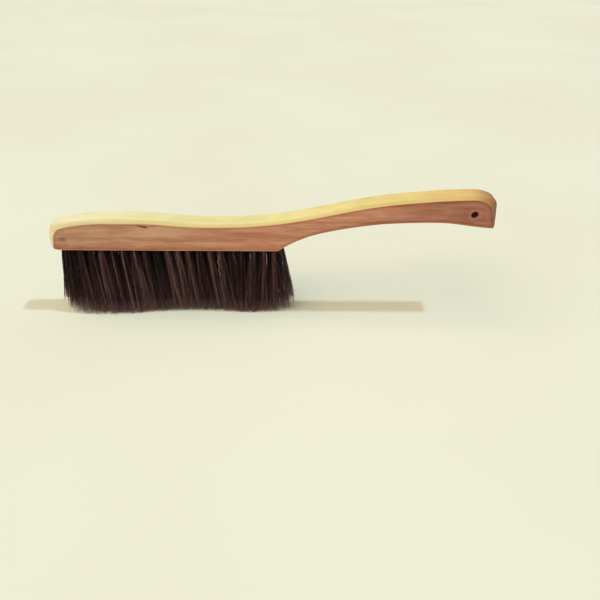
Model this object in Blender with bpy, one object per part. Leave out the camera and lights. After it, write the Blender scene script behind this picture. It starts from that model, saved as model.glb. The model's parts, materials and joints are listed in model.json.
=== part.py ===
"""Wooden bee brush: a one-piece handle block with two staggered rows of horsehair tufts.

The brush stands on its hair. +Z is up, +X runs from the hair end to the tail of the handle,
and the origin is on the ground, in the middle of the brush. Lengths are in metres.
"""
from math import cos, pi, radians, sin

import bpy
import bmesh
from mathutils import Matrix, Vector, geometry

MM = 0.001

# Handle block: a board sawn to a side profile, with its long edges eased.
BOARD_THICKNESS = 18 * MM
UNDERSIDE_Z = 67 * MM          # the flat that the hair comes out of; also the free hair length
BLOCK_RIGHT = 7.1 * MM          # where the flat underside ends and the handle begins
TOP_EASE = 2.6 * MM            # how far the eased edges reach in from the outline
FLAT_EASE = 1.2 * MM
NOSE_EASE = 4.4 * MM
TAIL_EASE = 5.4 * MM
EASE_STEPS = 3
CURVE_STEPS = 7

# Side profile in millimetres, clockwise from the foot of the nose as seen along +Y:
# (x, z, arriving direction, leaving direction, ease). Directions are degrees up from +X.
PROFILE = [
    (-201.1, 70.0, 90, 90, NOSE_EASE),
    (-197.9, 90.8, 60, 60, NOSE_EASE),
    (-191.7, 93.9, 13, 13, TOP_EASE),
    (-124.5, 99.2, 0, 0, TOP_EASE),
    (-54.5, 95.0, 0, 0, TOP_EASE),
    (54.5, 107.7, 13, 13, TOP_EASE),
    (127.5, 119.8, 5, 5, TOP_EASE),
    (181.3, 122.9, 0, 0, TOP_EASE),
    (200.4, 112.0, -86, -86, TAIL_EASE),
    (201.1, 95.8, -90, -90, TOP_EASE),
    (199.5, 91.2, -182, -182, TOP_EASE),
    (149.5, 96.2, 180, 180, TOP_EASE),
    (55.5, 87.2, 192, 192, TOP_EASE),
    (BLOCK_RIGHT / MM, UNDERSIDE_Z / MM, 215, 180, FLAT_EASE),
    (-198.2, UNDERSIDE_Z / MM, 180, 180, FLAT_EASE),
]

HANG_HOLE_X = 181.5 * MM
HANG_HOLE_Z = 105 * MM
HANG_HOLE_RADIUS = 3.2 * MM
HANG_HOLE_SIDES = 16

# Tufts: two rows drilled at one pitch, the back row half a pitch out of step with the front.
TUFT_PITCH = 10 * MM
ROW_Y = 3.6 * MM               # from the middle of the board to each row
BACK_COUNT = 21
FRONT_COUNT = BACK_COUNT - 1
FIRST_BACK_X = -191.5 * MM
FIRST_FRONT_X = FIRST_BACK_X + TUFT_PITCH / 2
TUFT_HOLE_RADIUS = 2.6 * MM
TUFT_HOLE_DEPTH = 13 * MM
GAP = 0.3 * MM                 # between a tuft and its hole, and between neighbouring tufts
TUFT_SIDES = 12

# The cut ends of both rows fan out over the same stretch of ground.
FOOT_LEFT = -201.2 * MM
FOOT_RIGHT = 19 * MM
FOOT_OUTER_Y = 8.8 * MM


def clear_scene():
    for thing in list(bpy.data.objects):
        bpy.data.objects.remove(thing, do_unlink=True)


def material(name, color, roughness):
    made = bpy.data.materials.new(name)
    made.use_nodes = True
    shader = made.node_tree.nodes["Principled BSDF"]
    shader.inputs["Base Color"].default_value = (*color, 1.0)
    shader.inputs["Roughness"].default_value = roughness
    shader.inputs["Metallic"].default_value = 0.0
    return made


def add_object(name, mesh, finish):
    mesh.materials.append(finish)
    made = bpy.data.objects.new(name, mesh)
    bpy.context.scene.collection.objects.link(made)
    return made


def mesh_from(name, bm):
    bmesh.ops.recalc_face_normals(bm, faces=bm.faces)
    mesh = bpy.data.meshes.new(name)
    bm.to_mesh(mesh)
    bm.free()
    return mesh


def heading(degrees):
    return Vector((cos(radians(degrees)), 0, sin(radians(degrees))))


def profile_points():
    """The closed side profile as (point, ease) pairs, in metres at y = 0."""
    points = []
    for start, end in zip(PROFILE, PROFILE[1:] + PROFILE[:1]):
        a = Vector((start[0], 0, start[1])) * MM
        b = Vector((end[0], 0, end[1])) * MM
        straight = abs((b - a).normalized().dot(heading(start[3])) - 1) < 1e-5
        steps = 1 if straight else CURVE_STEPS
        reach = (b - a).length * 0.38
        curve = geometry.interpolate_bezier(
            a, a + heading(start[3]) * reach, b - heading(end[2]) * reach, b, steps + 1)
        for n, point in enumerate(curve[:-1]):
            points.append((point, start[4] + (end[4] - start[4]) * n / steps))
    return points


def inward_normals(points):
    """Unit normals pointing into a clockwise outline, lengthened at corners to keep the inset."""
    normals = []
    for n, (here, _) in enumerate(points):
        before = (here - points[n - 1][0]).normalized()
        after = (points[(n + 1) % len(points)][0] - here).normalized()
        along = (before + after).normalized()
        inward = Vector((along.z, 0, -along.x))
        normals.append(inward / max(along.dot(after), 0.5))
    return normals


def eased_board(points):
    """A board with the given side profile, its two long edges rounded over."""
    normals = inward_normals(points)
    rings = []
    bm = bmesh.new()
    for side in (-1, 1):
        steps = [n / EASE_STEPS for n in range(EASE_STEPS + 1)]
        for t in steps if side < 0 else reversed(steps):
            ring = []
            for (point, ease), normal in zip(points, normals):
                inset = ease * (1 - sin(t * pi / 2))
                depth = BOARD_THICKNESS / 2 - ease * (1 - cos(t * pi / 2))
                place = point + normal * inset
                ring.append(bm.verts.new((place.x, side * depth, place.z)))
            rings.append(ring)
    for first, second in zip(rings, rings[1:]):
        for n in range(len(first)):
            m = (n + 1) % len(first)
            bm.faces.new((first[n], first[m], second[m], second[n]))
    bm.faces.new(rings[0])
    bm.faces.new(reversed(rings[-1]))
    return bm


def add_drill(bm, radius, sides, start, end):
    """A straight cutter from start to end."""
    along = end - start
    turn = along.to_track_quat("Z", "Y").to_matrix().to_4x4()
    bmesh.ops.create_cone(
        bm, cap_ends=True, segments=sides, radius1=radius, radius2=radius, depth=along.length,
        matrix=Matrix.Translation((start + end) / 2) @ turn)


def drills(rows):
    """One hidden cutter for every tuft hole and the hanging hole."""
    bm = bmesh.new()
    past = Vector((0, 0, 2 * MM))
    for row in rows:
        for x in row["roots"]:
            mouth = Vector((x, row["y"], UNDERSIDE_Z))
            add_drill(bm, TUFT_HOLE_RADIUS, TUFT_SIDES, mouth - past,
                      mouth + Vector((0, 0, TUFT_HOLE_DEPTH)))
    hang = Vector((HANG_HOLE_X, 0, HANG_HOLE_Z))
    through = Vector((0, BOARD_THICKNESS, 0))
    add_drill(bm, HANG_HOLE_RADIUS, HANG_HOLE_SIDES, hang - through, hang + through)
    cutter = bpy.data.objects.new("drills", mesh_from("drills", bm))
    bpy.context.scene.collection.objects.link(cutter)
    cutter.hide_render = True
    cutter.display_type = "WIRE"
    return cutter


def handle_block(rows, wood):
    board = add_object("handle_block", mesh_from("handle_block", eased_board(profile_points())), wood)
    drill = board.modifiers.new("drilled", "BOOLEAN")
    drill.operation = "DIFFERENCE"
    drill.solver = "EXACT"
    drill.object = drills(rows)
    return board


def tuft_section(bm, centre, half_x, half_y):
    """An oval ring with its corners on the same bearings as the drilled hole's."""
    ring = []
    for n in range(TUFT_SIDES):
        turn = 2 * pi * n / TUFT_SIDES
        ring.append(bm.verts.new(centre + Vector((half_x * sin(turn), half_y * cos(turn), 0))))
    return ring


def tuft(name, root_x, row, foot_x, foot_half_x, hair):
    """A bundle of hair: a round plug in its hole, opening to an oval foot on the ground."""
    plug = TUFT_HOLE_RADIUS - GAP
    foot_y = (FOOT_OUTER_Y + GAP / 2) / 2
    foot_half_y = (FOOT_OUTER_Y - GAP / 2) / 2
    bm = bmesh.new()
    top = UNDERSIDE_Z + TUFT_HOLE_DEPTH - GAP
    rings = [
        tuft_section(bm, Vector((root_x, row["y"], top)), plug, plug),
        tuft_section(bm, Vector((root_x, row["y"], UNDERSIDE_Z)), plug, plug),
    ]
    for down in (0.12, 0.35, 0.68, 1.0):
        spread = sin(down * pi / 2)
        centre = Vector((
            root_x + (foot_x - root_x) * down,
            row["y"] + (row["side"] * foot_y - row["y"]) * spread,
            UNDERSIDE_Z * (1 - down)))
        rings.append(tuft_section(
            bm, centre, plug + (foot_half_x - plug) * spread, plug + (foot_half_y - plug) * spread))
    for upper, lower in zip(rings, rings[1:]):
        for n in range(TUFT_SIDES):
            m = (n + 1) % TUFT_SIDES
            bm.faces.new((upper[n], upper[m], lower[m], lower[n]))
    bm.faces.new(rings[0])
    bm.faces.new(reversed(rings[-1]))
    mesh = mesh_from(name, bm)
    mesh.shade_smooth()
    mesh.set_sharp_from_angle(angle=radians(40))
    return add_object(name, mesh, hair)


def row_of_tufts(row, hair):
    foot_pitch = (FOOT_RIGHT - FOOT_LEFT) / len(row["roots"])
    for n, root_x in enumerate(row["roots"]):
        tuft(f"{row['name']}_tuft_{n + 1:02d}", root_x, row, FOOT_LEFT + foot_pitch * (n + 0.5),
             (foot_pitch - GAP) / 2, hair)


def tuft_rows():
    """Each row's name, side of the board, and the places where its tufts are set."""
    return [
        {"name": "front", "side": -1, "y": -ROW_Y,
         "roots": [FIRST_FRONT_X + TUFT_PITCH * n for n in range(FRONT_COUNT)]},
        {"name": "back", "side": 1, "y": ROW_Y,
         "roots": [FIRST_BACK_X + TUFT_PITCH * n for n in range(BACK_COUNT)]},
    ]


def main():
    clear_scene()
    wood = material("beech", (0.60, 0.37, 0.20), 0.5)
    hair = material("horsehair", (0.025, 0.015, 0.013), 0.55)
    rows = tuft_rows()
    handle_block(rows, wood)
    for row in rows:
        row_of_tufts(row, hair)


main()
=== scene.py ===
"""Looks of the bee brush: sanded wood, horsehair, a pale floor, soft light and the camera.

Lengths are in metres in the CAD frame: +X runs from the hair end to the tail of the handle,
+Z is up and the floor is z = 0. The board's profile, its holes and the roots of the hair are
read from the frame.
"""
import json
from math import cos, pi, radians, sin

import bmesh
import bpy
import numpy as np
from mathutils import Matrix, Vector, geometry, noise


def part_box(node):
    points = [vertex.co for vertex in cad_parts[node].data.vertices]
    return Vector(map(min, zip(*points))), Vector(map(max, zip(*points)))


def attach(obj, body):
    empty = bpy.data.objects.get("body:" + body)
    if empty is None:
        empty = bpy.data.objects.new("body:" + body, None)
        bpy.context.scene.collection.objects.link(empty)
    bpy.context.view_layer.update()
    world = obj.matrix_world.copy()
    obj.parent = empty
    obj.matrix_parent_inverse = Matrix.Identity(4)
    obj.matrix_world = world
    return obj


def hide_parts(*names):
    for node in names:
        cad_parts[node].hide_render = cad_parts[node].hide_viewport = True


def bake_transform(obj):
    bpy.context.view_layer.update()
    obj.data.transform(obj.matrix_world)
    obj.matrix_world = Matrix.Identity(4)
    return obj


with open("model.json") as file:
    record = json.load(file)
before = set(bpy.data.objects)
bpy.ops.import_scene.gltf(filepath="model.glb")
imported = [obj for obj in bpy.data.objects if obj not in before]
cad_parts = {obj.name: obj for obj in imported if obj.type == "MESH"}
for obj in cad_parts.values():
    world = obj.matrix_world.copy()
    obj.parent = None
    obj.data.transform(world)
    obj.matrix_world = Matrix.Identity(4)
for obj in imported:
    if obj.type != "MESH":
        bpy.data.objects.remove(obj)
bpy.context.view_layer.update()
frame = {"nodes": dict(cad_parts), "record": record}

MM = 0.001
BOARD_NODE = "handle_block"
ROWS = {"front_row": -1, "back_row": 1}     # the body of each row of tufts, and its side of the board
TUFT_NODES = [node for row in ROWS for node in frame["record"]["behaviour"]["bodies"][row]]
BOARD_LOW, BOARD_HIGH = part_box(BOARD_NODE)
HALF_THICKNESS = BOARD_HIGH.y
UNDERSIDE_Z = BOARD_LOW.z

# Fine mesh of the board.
PROFILE_SPACING = 0.8 * MM
ARRIS = radians(24)                # the rounded edge meets the flat side at this angle
# Along the top the rounded edge reaches in further than it is deep: (x in millimetres, how many times).
TOP_REACHES = [(-125, 2.0), (-60, 1.65)]
EASE_BLEND = 2.6 * MM              # how far changes in the easing are spread along the edge
BLEND_STEPS = 14                   # neighbours on each side that an average along the edge takes in
EASE_STEPS = 6
STRIP_STEPS = 6
SIDE_SPACING = 2.5 * MM
SIDE_CLEARANCE = 0.6               # the sides' inner points keep this share of their spacing to the outline
HAND_WORK = 0.12 * MM              # unevenness of the sanded edges
HAND_WORK_RATES = (55, 30, 55)     # and how fast it changes along each axis
SHARP_ANGLE = radians(21)          # the board shades as a crease where it turns by more than this

# Holes and blemishes.
TUFT_GAP = 0.3 * MM                # the CAD tufts keep this to their holes
HOLE_SIDES = 24
PAST_MOUTH = 2 * MM                # how far a tuft hole's cutter stands out of the wood
DRILL_POINT = (0.9, 0.55)          # a tuft hole narrows from this share of its depth, to this share
HANG_RADIUS = 3.1 * MM
HANG_PAST = 1 * MM                 # how far the hanging hole's cutter stands out of the wood
HANG_WEAR = 0.5 * MM               # how much wider the hanging hole is worn at its mouths
HANG_FLARE = 0.6 * MM              # and how much wider still its cutter is, out of the wood
HANG_STEP = 0.1 * MM
CHIP_START = Vector((-119.5, 0, 93.3)) * MM
CHIP_END = Vector((-108.6, 0, 91.0)) * MM
CHIP_DEPTH = 0.6 * MM
CHIP_SAG = 0.3 * MM                # how far the chip bows down between its ends
CHIP_NARROW, CHIP_WIDENING = 0.35, 0.95     # half its height at the start, and how much it gains, in mm
KNOT = Vector((-188.3, 0, 78.6)) * MM
NOSE_CORNER = Vector((-198.5, 0, 93.0)) * MM
NOSE_ROUNDING = 0.6 * MM           # extra easing that rounds off the upper corner of the nose
NOSE_REACH = 12.0 * MM             # how far from the corner that is felt
NOSE_FOOT = Vector((-200.2, 0, 67.9)) * MM
FOOT_BLEND = 4.6 * MM              # how far the lower corner of the nose is worn round
FOOT_REACH = 9.0 * MM              # how far from the corner that is felt

# Hair.
STRANDS = 320
STRAND_RADIUS = 0.13 * MM
STRAND_SIDES = 3
PLUG_DEPTH = 9 * MM                # how far up its hole a strand is modelled
CLUMPS = 26                        # locks that a tuft's strands gather into


def srgb(red, green, blue):
    """Scene-linear colour from 8-bit display values."""
    def linear(value):
        value /= 255
        return value / 12.92 if value <= 0.04045 else ((value + 0.055) / 1.055) ** 2.4
    return (linear(red), linear(green), linear(blue), 1.0)


def listed(pairs, place):
    """Reads a list of (millimetres, value) pairs at a place in metres."""
    where, values = zip(*pairs)
    return np.interp(place / MM, where, values)


def listed_length(pairs, place):
    """Reads a list whose values are millimetres too, and gives metres."""
    return listed(pairs, place) * MM


# ---------------------------------------------------------------- camera, light and floor

FIELD_OF_VIEW = radians(56.3)
CAMERA_PLACE = Vector((0.0277, -0.4578, 0.3238))
CAMERA_PITCH = radians(34.68)
CAMERA_ROLL = radians(0.32)

WORLD_COLOR = (1.0, 0.965, 0.88, 1.0)
WORLD_LIGHT = 0.30                 # how strongly the world lights the brush
WORLD_SEEN = 0.80                  # and how bright it looks beyond the floor


def add_camera():
    data = bpy.data.cameras.new("camera")
    data.angle = FIELD_OF_VIEW
    data.clip_start = 0.01
    camera = bpy.data.objects.new("camera", data)
    camera.matrix_world = (
        Matrix.Translation(CAMERA_PLACE)
        @ Matrix.Rotation(radians(90) - CAMERA_PITCH, 4, "X")
        @ Matrix.Rotation(CAMERA_ROLL, 4, "Z"))
    bpy.context.scene.collection.objects.link(camera)
    bpy.context.scene.camera = camera


def add_sun(name, source, strength, spread, color):
    """A distant light seen in the direction of source; spread is its apparent size in degrees."""
    data = bpy.data.lights.new(name, "SUN")
    data.energy = strength
    data.angle = radians(spread)
    data.color = color
    light = bpy.data.objects.new(name, data)
    light.rotation_euler = Vector(source).to_track_quat("Z", "Y").to_euler()
    bpy.context.scene.collection.objects.link(light)


def add_lights():
    """A wide warm window from the left, a small cool lamp from the right, and a soft room."""
    add_sun("left_window", source=(-0.50, -0.22, 1.0), strength=1.88, spread=60, color=(1.0, 0.88, 0.72))
    add_sun("ceiling_lamp", source=(0.54, 0.0, 1.0), strength=1.25, spread=3, color=(0.50, 0.76, 1.0))
    world = bpy.data.worlds.new("soft_room")
    world.use_nodes = True
    tree = world.node_tree
    seen = add_node(tree, "ShaderNodeLightPath").outputs["Is Camera Ray"]
    background = tree.nodes["Background"]
    background.inputs["Color"].default_value = WORLD_COLOR
    tree.links.new(remap(tree, seen, 0.0, 1.0, WORLD_LIGHT, WORLD_SEEN), background.inputs["Strength"])
    bpy.context.scene.world = world


# ---------------------------------------------------------------- node helpers

def new_material(name):
    made = bpy.data.materials.new(name)
    made.use_nodes = True
    return made, made.node_tree, made.node_tree.nodes["Principled BSDF"]


def add_node(tree, kind, inputs=(), **settings):
    """A shader node; each (name, value) input is a number, a colour or another node's output."""
    node = tree.nodes.new(kind)
    for name, value in settings.items():
        setattr(node, name, value)
    for name, value in dict(inputs).items():
        if isinstance(value, bpy.types.NodeSocket):
            tree.links.new(value, node.inputs[name])
        else:
            node.inputs[name].default_value = value
    return node


def stretched(tree, vector, scale):
    return add_node(tree, "ShaderNodeMapping", {"Vector": vector, "Scale": scale}).outputs[0]


def noise_value(tree, vector, scale=1.0, detail=2.0, roughness=0.5, distortion=0.0):
    made = add_node(tree, "ShaderNodeTexNoise", {
        "Vector": vector, "Scale": scale, "Detail": detail,
        "Roughness": roughness, "Distortion": distortion})
    return made.outputs["Fac"]


def remap(tree, value, low, high, to_low=0.0, to_high=1.0):
    made = add_node(tree, "ShaderNodeMapRange", {
        "Value": value, "From Min": low, "From Max": high, "To Min": to_low, "To Max": to_high},
        interpolation_type="SMOOTHSTEP")
    return made.outputs[0]


def math_value(tree, operation, first, second=0.0):
    made = add_node(tree, "ShaderNodeMath", {0: first, 1: second}, operation=operation)
    return made.outputs[0]


def product(tree, first, second):
    return math_value(tree, "MULTIPLY", first, second)


def mixed(tree, share, first, second, blend="MIX"):
    made = add_node(tree, "ShaderNodeMix", {0: share, 6: first, 7: second},
                    data_type="RGBA", blend_type=blend)
    return made.outputs[2]


def color_ramp(tree, value, stops):
    """stops are (position, colour) pairs."""
    node = add_node(tree, "ShaderNodeValToRGB", {"Fac": value})
    ramp = node.color_ramp
    while len(ramp.elements) < len(stops):
        ramp.elements.new(0.5)
    for element, (position, color) in zip(ramp.elements, stops):
        element.position = position
        element.color = color
    return node.outputs["Color"]


# ---------------------------------------------------------------- wood

# Colours along the board: (share of its length from the nose, colour). The edges are paler than the flat
# sides partly in the wood's own colour and partly as painted light on the top edge and painted shade on the
# sides; the edges darken towards the tail as painted shade.
EDGE_TONES_AND_PAINTED_LIGHT = [
    (0.00, srgb(252, 243, 202)),
    (0.25, srgb(246, 236, 172)),
    (0.55, srgb(247, 234, 158)),
    (0.80, srgb(244, 218, 138)),
    (0.94, srgb(238, 196, 120)),
    (0.98, srgb(190, 132, 86)),
    (1.00, srgb(136, 84, 60)),
]
# Painted shade: the flat sides are darker and redder than the edges partly because they stand in shade.
SIDE_TONES_AND_PAINTED_SHADE = [
    (0.00, srgb(212, 163, 133)),
    (0.22, srgb(225, 175, 141)),
    (0.34, srgb(222, 166, 136)),
    (0.49, srgb(225, 161, 131)),
    (0.60, srgb(237, 175, 142)),
    (0.68, srgb(237, 175, 142)),
    (0.78, srgb(221, 159, 131)),
    (0.93, srgb(194, 128, 107)),
    (1.00, srgb(191, 131, 106)),
]
# The underside: the flat that the hair comes out of, painted pale as a painted highlight on the lower edge,
# then the bottom of the handle.
UNDER_TONES_AND_PAINTED_HIGHLIGHT = [
    (0.50, srgb(232, 186, 162)),
    (0.56, srgb(184, 116, 86)),
]
PATCH_TINT = srgb(212, 184, 162)
STREAK_TINT = srgb(226, 190, 164)
PORE_TINT = srgb(226, 200, 180)
RAY_TINT = srgb(190, 146, 116)
RIM_TINT = srgb(206, 160, 126)
LOW_TINT = srgb(232, 184, 162)
# Painted light: warm bright colour on the rounded top edge beside the crease.
CREASE_PAINTED_LIGHT = srgb(255, 222, 148)
CHIP_COLOR = srgb(134, 52, 30)
KNOT_TINT = srgb(190, 168, 150)
# Painted shade: the dark inside of the hanging hole.
HOLE_PAINTED_SHADE_COLOR = srgb(128, 50, 30)
WORN_TONE = srgb(208, 166, 148)

# Grain from broad to fine: name, stretch along each axis, noise settings, the noise values between
# which it comes in, how strong it gets, and its tint.
GRAIN = [
    ("blotches", (24, 60, 190), {"detail": 3.0, "roughness": 0.6}, (0.38, 0.68), 0.75, PATCH_TINT),
    ("streaks", (16, 420, 420), {"detail": 4.0, "roughness": 0.6, "distortion": 0.5},
     (0.45, 0.75), 0.65, STREAK_TINT),
    ("pores", (90, 2400, 2400), {"detail": 2.0, "roughness": 0.7}, (0.50, 0.78), 0.60, PORE_TINT),
]
RAY_STRETCH = (260, 1500, 1500)
GRAIN_ON_EDGES = 0.30              # how much of the grain shows on the sanded edges
SIDE_FADE = (0.16 * MM, 0.01 * MM)     # the side's colour comes in between these depths from the flat
RIM_BAND = (0.3 * MM, 3.0 * MM)        # beside the edges the sides are darker, fading out over this
LOW_BAND = 10 * MM                     # the sides redden over this height above the hair
# The width of the painted light beside the crease:
CREASE_PAINTED_LIGHT_BAND = 4.2 * MM                 # the edges are warmer over this width beside the crease
KNOT_SIZE = (5.5 * MM, 3.2 * MM)
KNOT_TILT = 0.2
CHIP_SPOT_LONG = 0.7                   # half length of the chip's spot of colour, as a share of the chip
CHIP_SPOT_TALL = 1.8 * MM
HOLE_SHADE = (0.5 * MM, 2.8 * MM)      # the hanging hole darkens between these depths


def tinted(tree, share, color, tint):
    """The colour multiplied by the tint, as far as share says."""
    return mixed(tree, share, color, mixed(tree, 1.0, color, tint, "MULTIPLY"))


def spot(tree, here, centre, half_long, half_tall, tilt=0.0):
    """Distance from a mark on the sides of the board: 1 on an oval of the given half sizes."""
    placed = add_node(tree, "ShaderNodeMapping", {
        "Vector": here, "Location": centre, "Rotation": (0, tilt, 0),
        "Scale": (half_long, 1.0, half_tall)}, vector_type="TEXTURE").outputs[0]
    flat = add_node(tree, "ShaderNodeVectorMath", {0: placed, 1: (1, 0, 1)}, operation="MULTIPLY")
    return add_node(tree, "ShaderNodeVectorMath", {0: flat.outputs[0]}, operation="LENGTH").outputs["Value"]


def wood_places(tree):
    """Where a point of the board lies, as node outputs by name."""
    place = add_node(tree, "ShaderNodeTexCoord")
    here = place.outputs["Object"]
    split = add_node(tree, "ShaderNodeSeparateXYZ", {"Vector": here})
    facing = add_node(tree, "ShaderNodeSeparateXYZ", {"Vector": place.outputs["Normal"]})
    along = add_node(tree, "ShaderNodeMapRange", {
        "Value": split.outputs["X"], "From Min": BOARD_LOW.x, "From Max": BOARD_HIGH.x}).outputs[0]
    hole = spot(tree, here, hanging_hole(), HANG_RADIUS, HANG_RADIUS)
    from_middle = math_value(tree, "ABSOLUTE", split.outputs["Y"])
    flat = remap(tree, from_middle, HALF_THICKNESS - SIDE_FADE[0], HALF_THICKNESS - SIDE_FADE[1])
    return {
        "here": here,
        "along": along,
        "across": split.outputs["Y"],
        "height": split.outputs["Z"],
        "upward": facing.outputs["Z"],
        "from_middle": from_middle,
        "from_edge": add_node(tree, "ShaderNodeAttribute", attribute_name="from_edge").outputs["Fac"],
        "hole": hole,
        "flat": flat,
        "side": math_value(tree, "MAXIMUM", flat, remap(tree, hole, 1.5, 1.8, 1.0, 0.0)),
    }


def wood_tones_and_painted_light(tree, at):
    """The colours of the flat sides, the sanded edges and the underside, with painted light on the edges,
    painted shade on the sides and at the tail's end, and a painted highlight on the lower edge.
    """
    under = remap(tree, at["upward"], -0.05, -0.30)
    edges = mixed(tree, under, color_ramp(tree, at["along"], EDGE_TONES_AND_PAINTED_LIGHT),
                  color_ramp(tree, at["along"], UNDER_TONES_AND_PAINTED_HIGHLIGHT))
    return mixed(tree, at["side"], edges, color_ramp(tree, at["along"], SIDE_TONES_AND_PAINTED_SHADE))


def with_grain(tree, at, color):
    """The colour with grain and rays, plain on the sides and faint on the edges, and the grain's noises."""
    shown = remap(tree, at["side"], 0.0, 1.0, GRAIN_ON_EDGES, 1.0)
    noises = {}
    for name, stretch, settings, (low, high), most, tint in GRAIN:
        noises[name] = noise_value(tree, stretched(tree, at["here"], stretch), **settings)
        share = remap(tree, noises[name], low, high, 0.0, most)
        color = tinted(tree, product(tree, shown, share), color, tint)

    # Beech rays are short dark dashes along the grain; only some of the cells have one.
    rays = add_node(tree, "ShaderNodeTexVoronoi", {
        "Vector": stretched(tree, at["here"], RAY_STRETCH), "Scale": 1.0})
    chosen = add_node(tree, "ShaderNodeSeparateColor", {"Color": rays.outputs["Color"]}).outputs[0]
    dash = product(tree, remap(tree, rays.outputs["Distance"], 0.10, 0.22, 1.0, 0.0),
                   remap(tree, chosen, 0.55, 0.62, 0.0, 0.5))
    return tinted(tree, product(tree, shown, dash), color, RAY_TINT), noises


def with_rims_and_painted_light(tree, at, color):
    """The colour with sides darkened beside the edges and reddened low down, and painted light: warm bright
    edges beside the crease.
    """
    rim = product(tree, at["side"], remap(tree, at["from_edge"], *RIM_BAND, 1.0, 0.0))
    rim = product(tree, rim, remap(tree, at["along"], 0.35, 0.75, 0.25, 0.7))
    color = tinted(tree, rim, color, RIM_TINT)
    low = product(tree, at["side"],
                  remap(tree, at["height"], UNDERSIDE_Z + LOW_BAND, UNDERSIDE_Z, 0.0, 0.8))
    color = tinted(tree, low, color, LOW_TINT)

    # The painted light, a warm bright band that stands in for the light that the rounded edge turns away
    # from, lies along the top only, and fades towards the tail.
    strip = math_value(tree, "SUBTRACT", 1.0, at["side"])
    warm = product(tree, strip, remap(tree, at["from_edge"], 0.0, CREASE_PAINTED_LIGHT_BAND, 0.9, 0.0))
    warm = product(tree, warm, remap(tree, at["along"], 0.88, 0.98, 1.0, 0.0))
    warm = product(tree, warm, remap(tree, at["upward"], 0.0, 0.3))
    return mixed(tree, warm, color, CREASE_PAINTED_LIGHT)


def with_marks(tree, at, color):
    """The colour with a small knot near the nose, the chip under the crease, and the worn hanging hole,
    with painted shade inside it.
    """
    front = remap(tree, at["across"], 0.0, -HALF_THICKNESS)
    knot = remap(tree, spot(tree, at["here"], KNOT, *KNOT_SIZE, KNOT_TILT), 0.2, 1.0, 0.75, 0.0)
    color = tinted(tree, product(tree, front, knot), color, KNOT_TINT)

    # The chip's colour lies on its cut walls, and not on the flat side around it.
    fall = CHIP_END - CHIP_START
    tilt = -np.arctan2(fall.z, fall.x)
    chip = spot(tree, at["here"], (CHIP_START + CHIP_END) / 2, fall.length * CHIP_SPOT_LONG,
                CHIP_SPOT_TALL, tilt)
    chip = product(tree, remap(tree, chip, 0.90, 1.0, 1.0, 0.0),
                   math_value(tree, "SUBTRACT", 1.0, at["flat"]))
    color = mixed(tree, product(tree, front, chip), color, CHIP_COLOR)

    color = mixed(tree, remap(tree, at["hole"], 1.1, 2.4, 0.28, 0.0), color, WORN_TONE)
    # Painted shade darkens the inside of the hanging hole.
    inside = remap(tree, at["from_middle"], HALF_THICKNESS - HOLE_SHADE[0], HALF_THICKNESS - HOLE_SHADE[1])
    inside = product(tree, inside, remap(tree, at["hole"], 1.3, 1.5, 1.0, 0.0))
    return mixed(tree, inside, color, HOLE_PAINTED_SHADE_COLOR)


def wood_material():
    """Thinly oiled beech: pale sanded edges and warmer sides, whose contrast is partly painted light and
    shade, long grain streaks and short rays.
    """
    made, tree, shader = new_material("oiled_beech")
    at = wood_places(tree)
    color, noises = with_grain(tree, at, wood_tones_and_painted_light(tree, at))
    color = with_marks(tree, at, with_rims_and_painted_light(tree, at, color))
    tree.links.new(color, shader.inputs["Base Color"])
    rough = remap(tree, noises["streaks"], 0.3, 0.7, 0.46, 0.60)
    tree.links.new(rough, shader.inputs["Roughness"])
    shader.inputs["Coat Weight"].default_value = 0.06
    shader.inputs["Coat Roughness"].default_value = 0.4
    height = math_value(tree, "ADD", product(tree, noises["streaks"], 0.6),
                        product(tree, noises["pores"], 0.5))
    bump = add_node(tree, "ShaderNodeBump", {
        "Height": height, "Strength": 0.3, "Distance": 0.12 * MM})
    tree.links.new(bump.outputs[0], shader.inputs["Normal"])
    return made


# ---------------------------------------------------------------- board

def cad_profile():
    """The board's side profile, read from its CAD solid: rows of x, z and the width of the eased edge."""
    bm = bmesh.new()
    bm.from_mesh(frame["nodes"][BOARD_NODE].data)
    bmesh.ops.remove_doubles(bm, verts=bm.verts, dist=0.001 * MM)
    bmesh.ops.dissolve_limit(bm, angle_limit=radians(0.02), verts=bm.verts, edges=bm.edges)
    flat = np.array([(v.co.x, v.co.z) for v in bm.verts if v.co.y < 0.001 * MM - HALF_THICKNESS])
    cut = bmesh.ops.bisect_plane(bm, geom=[*bm.verts, *bm.edges, *bm.faces],
                                 plane_co=(0, 0, 0), plane_no=(0, 1, 0))["geom_cut"]
    joined = {}
    for edge in cut:
        if isinstance(edge, bmesh.types.BMEdge):
            first, second = edge.verts
            joined.setdefault(first, []).append(second)
            joined.setdefault(second, []).append(first)
    loop = [min(joined, key=lambda vert: vert.co.x)]
    while True:
        onward = [vert for vert in joined[loop[-1]] if vert not in loop[-2:]]
        if loop[0] in onward and len(loop) > 2:
            break
        loop.append(onward[0])
    points = np.array([(vert.co.x, vert.co.z) for vert in loop])
    bm.free()
    ahead = np.roll(points, -1, axis=0)
    if np.sum(points[:, 0] * ahead[:, 1] - ahead[:, 0] * points[:, 1]) > 0:
        points = points[::-1]
    points = points[turns(points) > radians(0.05)]
    ease = np.linalg.norm(points[:, None] - flat[None], axis=2).min(axis=1)
    return np.column_stack([points, ease])


def turns(points):
    """How far a closed outline turns at each of its points."""
    before = points - np.roll(points, 1, axis=0)
    after = np.roll(points, -1, axis=0) - points
    bend = np.arctan2(after[:, 1], after[:, 0]) - np.arctan2(before[:, 1], before[:, 0])
    return np.abs((bend + pi) % (2 * pi) - pi)


def blended(values, width):
    """Values along the closed profile, averaged with their neighbours."""
    steps = np.arange(-BLEND_STEPS, BLEND_STEPS + 1)
    weights = np.exp(-(steps * PROFILE_SPACING / width) ** 2)
    total = sum(weight * np.roll(values, step, axis=0) for step, weight in zip(steps, weights))
    return total / weights.sum()


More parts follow.
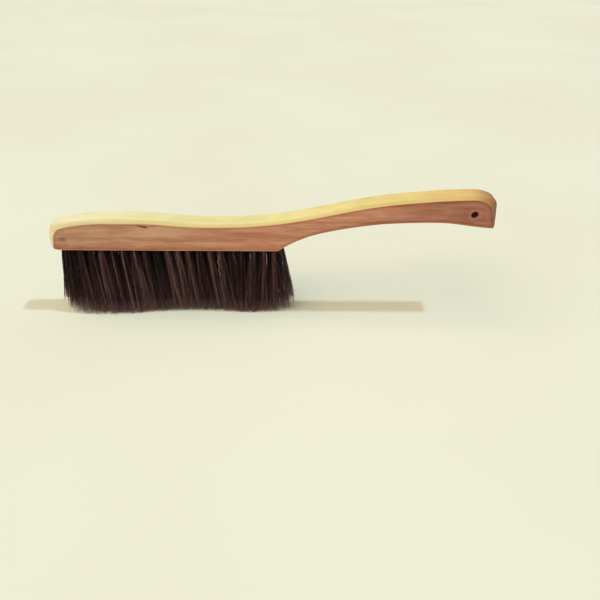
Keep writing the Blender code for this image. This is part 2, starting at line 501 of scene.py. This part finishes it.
def smooth_profile(rows):
    """Evenly spaced rows on the smooth closed curve through the profile, worn at the nose's corners."""
    corner = int(np.argmax(turns(rows[:, :2])))
    rows = np.roll(rows, -corner, axis=0)
    rows = np.vstack([rows, rows[:1]])
    points = rows[:, :2]
    chords = np.linalg.norm(np.diff(points, axis=0), axis=1)
    at = np.concatenate([[0.0], np.cumsum(chords)])
    heading = np.empty_like(points)
    heading[1:-1] = points[2:] - points[:-2]
    heading[0] = points[1] - points[0]
    heading[-1] = points[-1] - points[-2]
    heading /= np.linalg.norm(heading, axis=1)[:, None]
    wanted = np.linspace(0, at[-1], int(at[-1] / PROFILE_SPACING), endpoint=False)
    k = np.clip(np.searchsorted(at, wanted, side="right") - 1, 0, len(chords) - 1)
    chord = chords[k][:, None]
    t = (wanted - at[k])[:, None] / chord
    curve = ((1 + 2 * t) * (1 - t) ** 2 * points[k] + t * (1 - t) ** 2 * chord * heading[k]
             + t * t * (3 - 2 * t) * points[k + 1] + t * t * (t - 1) * chord * heading[k + 1])
    from_foot = np.linalg.norm(curve - np.array([NOSE_FOOT.x, NOSE_FOOT.z]), axis=1)
    worn = np.exp(-(from_foot / FOOT_REACH) ** 4)[:, None]
    curve += worn * (blended(curve, FOOT_BLEND) - curve)
    ease = blended(np.interp(wanted, at, rows[:, 2]), EASE_BLEND)
    from_corner = np.linalg.norm(curve - np.array([NOSE_CORNER.x, NOSE_CORNER.z]), axis=1)
    ease += NOSE_ROUNDING * np.exp(-(from_corner / NOSE_REACH) ** 2)
    return np.column_stack([curve, ease])


def inward(points):
    """Unit normals into a clockwise outline, lengthened where it turns."""
    before = points - np.roll(points, 1, axis=0)
    after = np.roll(points, -1, axis=0) - points
    before /= np.linalg.norm(before, axis=1)[:, None]
    after /= np.linalg.norm(after, axis=1)[:, None]
    along = before + after
    along /= np.linalg.norm(along, axis=1)[:, None]
    stretch = np.maximum((along * after).sum(axis=1), 0.5)
    return np.column_stack([along[:, 1], -along[:, 0]]) / stretch[:, None]


def board_rings(rows):
    """Rings of points across the board's edge, from the front arris round to the back arris."""
    points, ease = rows[:, :2], rows[:, 2:]
    normals = blended(inward(points), EASE_BLEND)
    further = listed(TOP_REACHES, points[:, :1]) - 1
    reach = 1 + further * np.clip(-normals[:, 1:], 0, 1)
    turn = np.linspace(ARRIS, pi / 2, EASE_STEPS)
    insets = (1 - np.sin(turn)) / (1 - sin(ARRIS))
    drops = (cos(ARRIS) - np.cos(turn)) / cos(ARRIS)
    rings = []
    for inset, drop in zip(insets, drops):
        place = points + normals * ease * inset * reach
        rings.append((place, -(HALF_THICKNESS - ease[:, 0] * drop)))
    edge = HALF_THICKNESS - ease[:, 0]
    for share in np.linspace(-1, 1, STRIP_STEPS + 1)[1:-1]:
        rings.append((points, edge * share))
    rings += [(place, -depth) for place, depth in reversed(rings[:EASE_STEPS])]
    return [np.column_stack([place[:, 0], depth, place[:, 1]]) for place, depth in rings]


def side_faces(bm, ring, back):
    """Fills one flat side with small triangles, sharing the ring's vertices."""
    outline = [(vert.co.x, vert.co.z) for vert in ring]
    inside = []
    for x in np.arange(BOARD_LOW.x, BOARD_HIGH.x, SIDE_SPACING):
        for z in np.arange(BOARD_LOW.z, BOARD_HIGH.z, SIDE_SPACING):
            inside.append((x, z))
    edges = np.array(outline)
    near = [np.linalg.norm(edges - np.array(point), axis=1).min() for point in inside]
    inside = [point for point, gap in zip(inside, near) if gap > SIDE_CLEARANCE * SIDE_SPACING]
    coords = [Vector(point) for point in outline + inside]
    made, _, faces, origins, _, _ = geometry.delaunay_2d_cdt(
        coords, [], [list(range(len(outline)))], 1, 1e-9)
    verts = []
    for point, source in zip(made, origins):
        known = [n for n in source if n < len(ring)]
        verts.append(ring[known[0]] if known else bm.verts.new((point.x, ring[0].co.y, point.y)))
    for face in faces:
        corners = [verts[n] for n in face]
        bm.faces.new(corners if not back else corners[::-1])


def board_mesh():
    """The whole board without its holes, and the points where its edges meet the flat sides."""
    outlines = board_rings(smooth_profile(cad_profile()))
    bm = bmesh.new()
    rings = [[bm.verts.new(point) for point in outline] for outline in outlines]
    for first, second in zip(rings, rings[1:]):
        for n in range(len(first)):
            m = (n + 1) % len(first)
            bm.faces.new((first[n], first[m], second[m], second[n]))
    side_faces(bm, rings[0], back=False)
    side_faces(bm, rings[-1], back=True)
    loose = [vert for vert in bm.verts if not vert.link_faces]
    bmesh.ops.delete(bm, geom=loose, context="VERTS")
    bmesh.ops.recalc_face_normals(bm, faces=bm.faces)
    mesh = bpy.data.meshes.new("board")
    bm.to_mesh(mesh)
    bm.free()
    return mesh, np.vstack([outlines[0], outlines[-1]])


def turned_cutter(bm, start, end, radii):
    """A round cutter whose radius follows radii, given as (share of the way, radius) pairs."""
    axis = (end - start).normalized()
    across = axis.orthogonal().normalized()
    upward = axis.cross(across)
    rings = []
    for share, radius in radii:
        centre = start.lerp(end, share)
        ring = []
        for n in range(HOLE_SIDES):
            turn = 2 * pi * n / HOLE_SIDES
            ring.append(bm.verts.new(centre + (across * cos(turn) + upward * sin(turn)) * radius))
        rings.append(ring)
    for first, second in zip(rings, rings[1:]):
        for n in range(HOLE_SIDES):
            m = (n + 1) % HOLE_SIDES
            bm.faces.new((first[n], first[m], second[m], second[n]))
    bm.faces.new(rings[0][::-1])
    bm.faces.new(rings[-1])


def tuft_plug(node):
    """Centre and half sizes of the top of a CAD tuft, which is in its hole."""
    co = np.array([vert.co for vert in frame["nodes"][node].data.vertices])
    ring = co[np.abs(co[:, 2] - co[:, 2].max()) < 0.01 * MM]
    low, high = ring.min(axis=0), ring.max(axis=0)
    return (low + high) / 2, (high - low) / 2


def hanging_hole():
    low, high = frame["record"]["physics"]["openings"][0]["box_m"]
    return (Vector(low) + Vector(high)) / 2


def cut_tuft_holes(bm):
    """A drilled hole for every tuft, with the drill's point at its bottom."""
    narrows, point = DRILL_POINT
    for node in TUFT_NODES:
        top, plug = tuft_plug(node)
        radius = plug[0] + TUFT_GAP
        mouth = Vector((top[0], top[1], UNDERSIDE_Z - PAST_MOUTH))
        bottom = Vector((top[0], top[1], top[2] + TUFT_GAP))
        turned_cutter(bm, mouth, bottom, ((0, radius), (narrows, radius), (1, radius * point)))


def cut_hanging_hole(bm):
    """A round hole through the board, worn wider at its two mouths."""
    centre = hanging_hole()
    reach = Vector((0, HALF_THICKNESS + HANG_PAST, 0))
    wide, narrow = HANG_RADIUS + HANG_WEAR + HANG_FLARE, HANG_RADIUS
    turned_cutter(bm, centre - reach, centre + reach,
                  ((0, wide), (0.09, narrow + HANG_STEP), (0.14, narrow), (0.86, narrow),
                   (0.91, narrow + HANG_STEP), (1, wide)))


def cut_chip(bm):
    """A thin sliver broken out of the front: it grows taller towards its low end."""
    along = CHIP_END - CHIP_START
    turn = along.to_track_quat("X", "Z").to_matrix().to_4x4()
    centre = (CHIP_START + CHIP_END) / 2 - Vector((0, HALF_THICKNESS, 0))
    chip = bmesh.ops.create_icosphere(bm, subdivisions=3, radius=1.0)["verts"]
    for vert in chip:
        share = (vert.co.x + 1) / 2
        vert.co.x *= along.length / 2
        vert.co.y *= CHIP_DEPTH
        tall = vert.co.z * (CHIP_NARROW + CHIP_WIDENING * share) * MM
        vert.co.z = tall - CHIP_SAG * sin(pi * share)
        vert.co = (Matrix.Translation(centre) @ turn) @ vert.co


def cutters():
    """One hidden cutter: every tuft hole, the worn hanging hole and the chip under the crease."""
    bm = bmesh.new()
    cut_tuft_holes(bm)
    cut_hanging_hole(bm)
    cut_chip(bm)
    bmesh.ops.recalc_face_normals(bm, faces=bm.faces)
    mesh = bpy.data.meshes.new("cutters")
    bm.to_mesh(mesh)
    bm.free()
    return bpy.data.objects.new("cutters", mesh)


def nearest(points, targets):
    """Distance from each point to the nearest target, worked out in slices."""
    out = np.empty(len(points))
    for n in range(0, len(points), 2000):
        part = points[n:n + 2000]
        out[n:n + 2000] = np.linalg.norm(part[:, None] - targets[None], axis=2).min(axis=1)
    return out


def add_float(mesh, name, values):
    attribute = mesh.attributes.new(name, "FLOAT", "POINT")
    attribute.data.foreach_set("value", np.asarray(values, np.float32).ravel())


def hand_work(mesh):
    """Sanding by hand leaves the edges a little uneven; the flat sides stay flat."""
    for vert in mesh.vertices:
        share = 1 - abs(vert.co.y) / HALF_THICKNESS
        if share > 0.001:
            place = Vector([value * rate for value, rate in zip(vert.co, HAND_WORK_RATES)])
            vert.co += vert.normal * HAND_WORK * noise.noise(place) * min(1.0, share * 4)


def add_board(material):
    mesh, arris = board_mesh()
    hand_work(mesh)
    piece = bpy.data.objects.new("block_and_handle", mesh)
    bpy.context.scene.collection.objects.link(piece)
    cutter = cutters()
    bpy.context.scene.collection.objects.link(cutter)
    cut = piece.modifiers.new("drilled", "BOOLEAN")
    cut.operation = "DIFFERENCE"
    cut.solver = "EXACT"
    cut.object = cutter
    bpy.context.view_layer.update()
    drilled = bpy.data.meshes.new_from_object(
        piece.evaluated_get(bpy.context.evaluated_depsgraph_get()))
    piece.modifiers.clear()
    piece.data = drilled
    bpy.data.objects.remove(cutter, do_unlink=True)
    co = np.array([vert.co for vert in drilled.vertices])
    add_float(drilled, "from_edge", nearest(co, arris))
    drilled.materials.clear()
    drilled.materials.append(material)
    drilled.shade_smooth()
    drilled.set_sharp_from_angle(angle=SHARP_ANGLE)
    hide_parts(BOARD_NODE)
    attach(piece, "handle")


# ---------------------------------------------------------------- hair

TUFT_PITCH = 10 * MM
FIRST_ROOT_X = min(tuft_plug(node)[0][0] for node in TUFT_NODES)

# How the tufts lean along each row: (root x, shift of the cut ends) in millimetres.
LEANS = {
    "front_row": [(-187, -3.0), (-178, 1.0), (-167, 4.0), (-147, 5.0), (-100, 4.0), (-60, 6.0),
                  (-46, 7.0), (-27, -3.0), (-6, -6.0), (4, 2.0)],
    "back_row": [(-192, -9.0), (-182, -6.0), (-170, -2.0), (-60, 3.0), (-27, -1.0), (-6, -1.0), (9, 5.0)],
}
# Half the width over which each tuft's cut ends spread along the row.
FANS = [(-192, 8.0), (-187, 9.0), (-177, 7.0), (-6, 8.0), (-1, 10.0), (4, 14.0), (9, 10.0)]
# The ends of the mass of hair, from the floor up to the block: (z, x).
LEFT_END = [(0, -208.5), (8, -206.0), (36, -199.6), (60, -196.0), (67, -194.6)]
RIGHT_END = [(0, 22.0), (11, 20.4), (61, 11.0), (67, 10.6)]
# Pale fibres caught on the front of the hair: (x, upper z, lower z, curl) in millimetres.
CAUGHT = [(-3.4, 64.5, 52.0, 0.25), (-18.7, 64.5, 60.0, 0.1), (-48.3, 62.0, 41.0, 1.0),
          (-162.6, 66.0, 62.5, 0.1)]
CAUGHT_Y = (8.0, 4.6)              # how far forward they lie at the block, and what the floor adds
CAUGHT_WITHIN = TUFT_PITCH / 2     # each lies on the tuft whose root is within this
# How far forward the cut ends of the front row reach.
FRONTS = [(-204, 13.0), (-168, 16.8), (-143, 16.8), (-112, 11.8), (-81, 8.6), (-50, 9.5), (-21, 12.0),
          (10, 10.5)]
BACK_REACH = 10.5 * MM
# How far the cut ends stand off the floor along the row.
LIFTS = [(-208, 8.0), (-196, 5.0), (-185, 2.6), (-176, 0.8), (-168, 0.2), (-130, 0.2), (-112, 1.0),
         (-85, 1.6), (-55, 0.8), (-20, 0.2), (4, 0.6), (14, 3.5), (20, 7.5)]
# Shares of the free length at which a strand has a ring.
RING_SHARES = (0.0, 0.03, 0.07, 0.13, 0.22, 0.36, 0.52, 0.68, 0.84, 1.0)
SWELL = 0.75                       # how much wider a tuft is once it is out of its hole
SWELL_SHARE = 0.045                # the share of the free length that this takes
END_SHIFT = 1.6 * MM               # the tuft nearest the nose also swells this far outwards
MIDDLE_GAP = 0.2 * MM              # each row keeps this to the plane between the rows
FLOOR_GAP = 0.2 * MM               # and this to the floor

# How the strands of a tuft differ. Scatters are normal spreads, as shares of the foot's half size.
GATHER = (0.30, 0.75)              # how far strands close up to the middle of their lock
LOCK_SCATTER = 0.12
STRAND_SCATTER = 0.12
WILD_SHARE = 0.02                  # of the strands, and how far their ends stray
WILD_REACH = 5 * MM
SHORT_SHARE = 0.05                 # of the strands, and how much they fall short
SHORT_BY = (2 * MM, 14 * MM)
CUT_SCATTER = 0.8 * MM             # unevenness of the cut ends
LOCK_BOW = 0.30 * MM
STRAND_BOW = 0.25 * MM
WAVE = 0.12 * MM
WAVE_TURN = 9                      # radians of wave along a strand
END_SLACK = 0.5 * MM               # how far strands stray past the ends of the mass of hair

# Shades of the strands: 0 is the darkest, 1 the pale ones.
TONE = (0.34, 0.20)                # mean and spread over strands
LOCK_TONE = 0.27                   # spread over locks
# Painted light and shade at the roots: a tuft's middle strands are lightened and its two sides darkened.
ROOT_PAINTED_LIGHT_AND_SHADE = (0.21, -0.64)          # added at the roots: everywhere, and towards a tuft's two sides
ROOT_PAINTED_LIGHT_SHARE = 0.35             # the share of the length over which that fades
TONE_LIMIT = 0.88
PALE_SHARE = 0.001
HAIR_TONES = [
    (0.00, srgb(14, 1, 3)),
    (0.28, srgb(42, 13, 16)),
    (0.58, srgb(94, 58, 62)),
    (0.93, srgb(188, 146, 144)),
    (1.00, srgb(228, 216, 200)),
]
MOTTLE_TINT = srgb(206, 178, 176)
LOWER_TONE = srgb(150, 102, 112)
TIP_TONE = srgb(172, 127, 135)


def hair_material():
    """Dark brown horsehair; each strand has its own shade, and its cut end is paler and rosier."""
    made, tree, shader = new_material("horsehair")
    tone = add_node(tree, "ShaderNodeAttribute", attribute_name="tone").outputs["Fac"]
    down = add_node(tree, "ShaderNodeAttribute", attribute_name="down").outputs["Fac"]
    color = color_ramp(tree, tone, HAIR_TONES)
    here = add_node(tree, "ShaderNodeTexCoord").outputs["Object"]
    mottle = noise_value(tree, stretched(tree, here, (900, 900, 120)), detail=2.0)
    color = tinted(tree, remap(tree, mottle, 0.35, 0.7, 0.0, 0.6), color, MOTTLE_TINT)
    color = mixed(tree, remap(tree, down, 0.45, 1.0, 0.0, 0.12), color, LOWER_TONE)
    color = mixed(tree, remap(tree, down, 0.86, 1.0, 0.0, 0.58), color, TIP_TONE)
    tree.links.new(color, shader.inputs["Base Color"])
    shader.inputs["Roughness"].default_value = 0.40
    shader.inputs["Specular IOR Level"].default_value = 0.28
    return made


def within_ends(rng, path):
    """Presses strands that would leave the mass of hair back to its two ends, give or take a little."""
    slack = rng.exponential(END_SLACK, len(path))[:, None]
    x, z = path[:, 1:, 0], path[:, 1:, 2]
    low = listed_length(LEFT_END, z) - slack
    high = listed_length(RIGHT_END, z) + slack
    path[:, 1:, 0] = np.clip(x, low, high)


def caught_fibres(centre_x):
    """Paths of the pale fibres that lie on this tuft of the front row."""
    share = np.linspace(0, 1, len(RING_SHARES) + 1)
    paths = []
    for x, upper, lower, curl in CAUGHT:
        if abs(x * MM - centre_x) <= CAUGHT_WITHIN:
            z = (upper + (lower - upper) * share) * MM
            down = 1 - z / UNDERSIDE_Z
            across = x * MM + curl * MM * np.sin(share * 5 * pi)
            paths.append(np.column_stack([across, -(CAUGHT_Y[0] + CAUGHT_Y[1] * down) * MM, z]))
    return paths


def strand_tips(rng, row, root_x, unit, seeds, clump):
    """Where the cut end of each of a tuft's strands comes to."""
    side = ROWS[row]
    # Strands gather into locks on the way down, and the locks spread over the tuft's foot.
    gather = rng.uniform(*GATHER, CLUMPS)[clump][:, None]
    aim = unit * (1 - gather) + seeds[clump] * gather
    aim += rng.normal(0, LOCK_SCATTER, (CLUMPS, 2))[clump] + rng.normal(0, STRAND_SCATTER, (STRANDS, 2))
    # The round bundle fills out its oblong foot.
    aim[:, 1] /= np.sqrt(np.clip(1 - aim[:, 0] ** 2, 0.2, 1))
    aim[:, 1] = np.clip(aim[:, 1], -1, 1)
    x = root_x + listed_length(LEANS[row], root_x) + aim[:, 0] * listed_length(FANS, root_x)
    wild = rng.uniform(0, 1, STRANDS) < WILD_SHARE
    x[wild] += rng.normal(0, WILD_REACH, wild.sum())
    reach = listed_length(FRONTS, x) if side < 0 else BACK_REACH
    y = side * (0.5 + 0.5 * side * aim[:, 1]) * reach

    lift = listed_length(LIFTS, x) * rng.uniform(0.3, 1.5, STRANDS)
    z = FLOOR_GAP + lift + rng.exponential(CUT_SCATTER, STRANDS)
    short = rng.uniform(0, 1, STRANDS) < SHORT_SHARE
    z[short] += rng.uniform(*SHORT_BY, short.sum())
    return np.column_stack([x, y, z])


def strand_tones(rng, unit, clump):
    """The tone of each strand at each of its rings; near its root a tuft's middle has painted light and its
    two sides painted shade.
    """
    tone = rng.normal(*TONE, STRANDS) + rng.normal(0, LOCK_TONE, CLUMPS)[clump]
    near = np.exp(-np.array((0.0,) + RING_SHARES) / ROOT_PAINTED_LIGHT_SHARE)
    middle, sides = ROOT_PAINTED_LIGHT_AND_SHADE
    tone = tone[:, None] + (middle + sides * np.abs(unit[:, :1])) * near[None]
    tone = np.clip(tone, 0.0, TONE_LIMIT)
    tone[rng.uniform(0, 1, STRANDS) < PALE_SHARE] = 1.0
    return tone


def strand_paths(rng, node, row):
    """Centre lines of a tuft's strands, (strand, ring, xyz), and the shade at each of their rings."""
    side = ROWS[row]
    top, plug = tuft_plug(node)
    hole = plug[0] + TUFT_GAP - STRAND_RADIUS
    turn = rng.uniform(0, 2 * pi, STRANDS)
    out = np.sqrt(rng.uniform(0, 1, STRANDS))
    unit = np.column_stack([np.cos(turn), np.sin(turn)]) * out[:, None]
    seeds = rng.uniform(-0.85, 0.85, (CLUMPS, 2))
    clump = np.linalg.norm(unit[:, None] - seeds[None], axis=2).argmin(axis=1)
    tips = strand_tips(rng, row, top[0], unit, seeds, clump)

    centre = np.array([top[0], top[1]])
    outward = np.array([END_SHIFT if top[0] < FIRST_ROOT_X + 1 * MM else 0.0, 0.0])
    path = np.empty((STRANDS, len(RING_SHARES) + 1, 3))
    path[:, 0, :2] = centre + unit * hole
    path[:, 0, 2] = UNDERSIDE_Z + PLUG_DEPTH
    bow = rng.normal(0, LOCK_BOW, (CLUMPS, 2))[clump] + rng.normal(0, STRAND_BOW, (STRANDS, 2))
    wave = rng.normal(0, WAVE, (STRANDS, 2))
    phase = rng.uniform(0, 2 * pi, STRANDS)
    for n, share in enumerate(RING_SHARES, start=1):
        free = 1 - np.exp(-share / SWELL_SHARE)
        root = centre - outward * free + unit * hole * (1 + SWELL * free)
        sway = sin(pi * share) * bow + wave * np.sin(phase + WAVE_TURN * share)[:, None] * share
        path[:, n, :2] = root + (tips[:, :2] - root) * share + sway
        path[:, n, 2] = UNDERSIDE_Z + (tips[:, 2] - UNDERSIDE_Z) * share
    within_ends(rng, path)
    path[:, :, 1] = side * np.maximum(path[:, :, 1] * side, MIDDLE_GAP)

    tone = strand_tones(rng, unit, clump)
    if side < 0:
        for fibre in caught_fibres(top[0]):
            path = np.concatenate([path, fibre[None]])
            tone = np.concatenate([tone, np.ones_like(tone[:1])])
    return path, tone


def add_bake_layout(mesh, count, rings):
    """A bake layout with one row for each strand: along is its length, wide is round it."""
    row = (np.arange(count)[:, None, None] + 0.1 + 0.8 * np.arange(STRAND_SIDES) / STRAND_SIDES) / count
    along = np.linspace(0.01, 0.99, rings)[None, :, None]
    row = np.broadcast_to(row, (count, rings, STRAND_SIDES))
    along = np.broadcast_to(along, (count, rings, STRAND_SIDES))
    wide = row + 0.8 / STRAND_SIDES / count
    corners = np.stack([
        np.stack([along[:, :-1], row[:, :-1]], -1), np.stack([along[:, 1:], row[:, 1:]], -1),
        np.stack([along[:, 1:], wide[:, 1:]], -1), np.stack([along[:, :-1], wide[:, :-1]], -1)], axis=-2)
    ends = np.stack([
        np.stack([along[:, 0], row[:, 0]], -1), np.stack([along[:, -1], row[:, -1]], -1)], axis=1)
    layout = mesh.uv_layers.new(name="OFBake")
    layout.data.foreach_set("uv", np.concatenate([corners.ravel(), ends.ravel()]).astype(np.float32))


def strand_mesh(name, path, tone, rng):
    """Closed tubes along the paths, each with its own girth, and thinner at its cut end."""
    count, rings, _ = path.shape
    taper = np.interp(np.linspace(0, 1, rings), [0, 0.7, 1], [1, 0.95, 0.62])
    girth = STRAND_RADIUS * rng.uniform(0.8, 1.15, count)
    start = rng.uniform(0, 2 * pi, count)
    turn = start[:, None] + np.arange(STRAND_SIDES) * 2 * pi / STRAND_SIDES
    around = np.stack([np.cos(turn), np.sin(turn), np.zeros_like(turn)], axis=-1)
    verts = (path[:, :, None, :]
             + around[:, None] * girth[:, None, None, None] * taper[None, :, None, None])
    index = np.arange(count * rings * STRAND_SIDES).reshape(count, rings, STRAND_SIDES)
    after = np.roll(index, -1, axis=2)
    quads = np.stack([index[:, :-1], index[:, 1:], after[:, 1:], after[:, :-1]], axis=-1)
    caps = np.stack([index[:, 0], index[:, -1, ::-1]], axis=1)
    faces = quads.reshape(-1, 4).tolist() + caps.reshape(-1, 3).tolist()
    mesh = bpy.data.meshes.new(name)
    mesh.from_pydata(verts.reshape(-1, 3), [], faces)
    add_bake_layout(mesh, count, rings)
    add_float(mesh, "tone", np.broadcast_to(tone[:, :, None], (count, rings, STRAND_SIDES)))
    down = np.linspace(0, 1, rings)[None, :, None]
    add_float(mesh, "down", np.broadcast_to(down, (count, rings, STRAND_SIDES)))
    mesh.shade_smooth()
    return mesh


def add_hair(material):
    for row in ROWS:
        for node in frame["record"]["behaviour"]["bodies"][row]:
            rng = np.random.default_rng(TUFT_NODES.index(node) + 11)
            path, tone = strand_paths(rng, node, row)
            mesh = strand_mesh(f"{node}_hair", path, tone, rng)
            mesh.materials.append(material)
            piece = bpy.data.objects.new(f"{node}_hair", mesh)
            bpy.context.scene.collection.objects.link(piece)
            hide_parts(node)
            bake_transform(piece)


# ---------------------------------------------------------------- floor

FLOOR_REACH = 6.0


def add_floor():
    """A plain pale floor with faint clouds of colour, large enough to fill the main view."""
    made, tree, shader = new_material("pale_floor")
    here = add_node(tree, "ShaderNodeTexCoord").outputs["Object"]
    cloud = noise_value(tree, here, scale=2.2, detail=3.0)
    color = mixed(tree, remap(tree, cloud, 0.3, 0.7), srgb(236, 233, 209), srgb(240, 238, 215))
    tree.links.new(color, shader.inputs["Base Color"])
    shader.inputs["Roughness"].default_value = 0.8
    shader.inputs["Specular IOR Level"].default_value = 0.2
    mesh = bpy.data.meshes.new("floor")
    corners = [(-1, -1), (1, -1), (1, 1), (-1, 1)]
    mesh.from_pydata([(x * FLOOR_REACH, y * FLOOR_REACH, 0) for x, y in corners], [], [(0, 1, 2, 3)])
    mesh.materials.append(made)
    floor = bpy.data.objects.new("floor", mesh)
    bpy.context.scene.collection.objects.link(floor)


add_camera()
add_lights()
add_floor()
add_board(wood_material())
add_hair(hair_material())

bpy.context.scene.view_settings.view_transform = "Standard"
